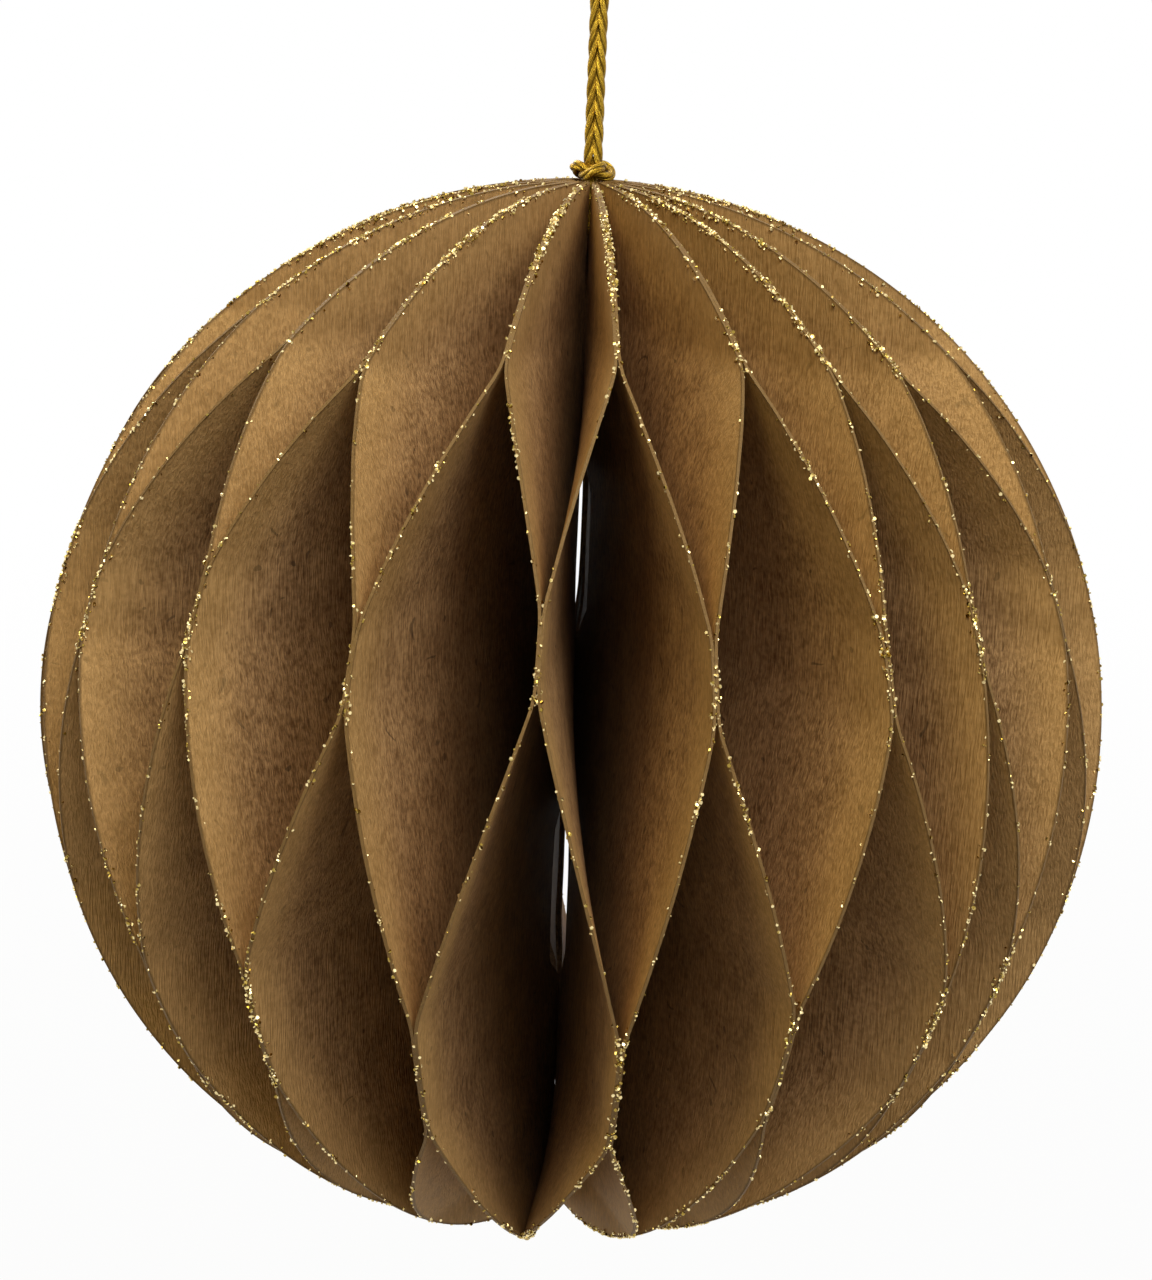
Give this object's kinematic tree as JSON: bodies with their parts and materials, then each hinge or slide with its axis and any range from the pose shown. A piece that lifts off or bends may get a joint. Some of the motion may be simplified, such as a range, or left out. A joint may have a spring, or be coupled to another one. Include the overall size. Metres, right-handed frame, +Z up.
{
  "type": "honeycomb paper ball",
  "caption": "Hanging ball of kraft paper leaves glued into a honeycomb, with glittered rims and a looped metallic cord.",
  "frame": {"origin": "centre of the ball", "axes": "+Z up along the ball's axis towards its hanging loop, front of the ball faces -Y"},
  "size_m": [0.0799, 0.08, 0.1181],
  "materials": {
    "kraft_paper": "matt, fibrous",
    "gold_cord": "metallic yarn",
    "gold_glitter": "mirror flakes"
  },
  "bodies": {
    "root": {"leaf_01": "kraft_paper", "leaf_02": "kraft_paper", "leaf_03": "kraft_paper", "leaf_04": "kraft_paper", "leaf_05": "kraft_paper", "leaf_06": "kraft_paper", "leaf_07": "kraft_paper", "leaf_08": "kraft_paper", "leaf_09": "kraft_paper", "leaf_10": "kraft_paper", "leaf_11": "kraft_paper", "leaf_12": "kraft_paper", "leaf_13": "kraft_paper", "leaf_14": "kraft_paper", "leaf_15": "kraft_paper", "leaf_16": "kraft_paper", "leaf_17": "kraft_paper", "leaf_18": "kraft_paper", "leaf_19": "kraft_paper", "leaf_20": "kraft_paper", "leaf_21": "kraft_paper", "leaf_22": "kraft_paper", "leaf_23": "kraft_paper", "leaf_24": "kraft_paper", "leaf_25": "kraft_paper", "leaf_26": "kraft_paper", "leaf_27": "kraft_paper", "leaf_28": "kraft_paper", "leaf_29": "kraft_paper", "leaf_30": "kraft_paper", "leaf_31": "kraft_paper", "leaf_32": "kraft_paper", "leaf_33": "kraft_paper", "leaf_34": "kraft_paper", "leaf_35": "kraft_paper", "leaf_36": "kraft_paper", "leaf_37": "kraft_paper", "leaf_38": "kraft_paper", "leaf_39": "kraft_paper", "leaf_40": "kraft_paper", "top_knot": "gold_cord", "bottom_knot": "gold_cord", "hanging_cord": "gold_cord", "anchor_cord": "gold_cord"}
  },
  "joints": []
}
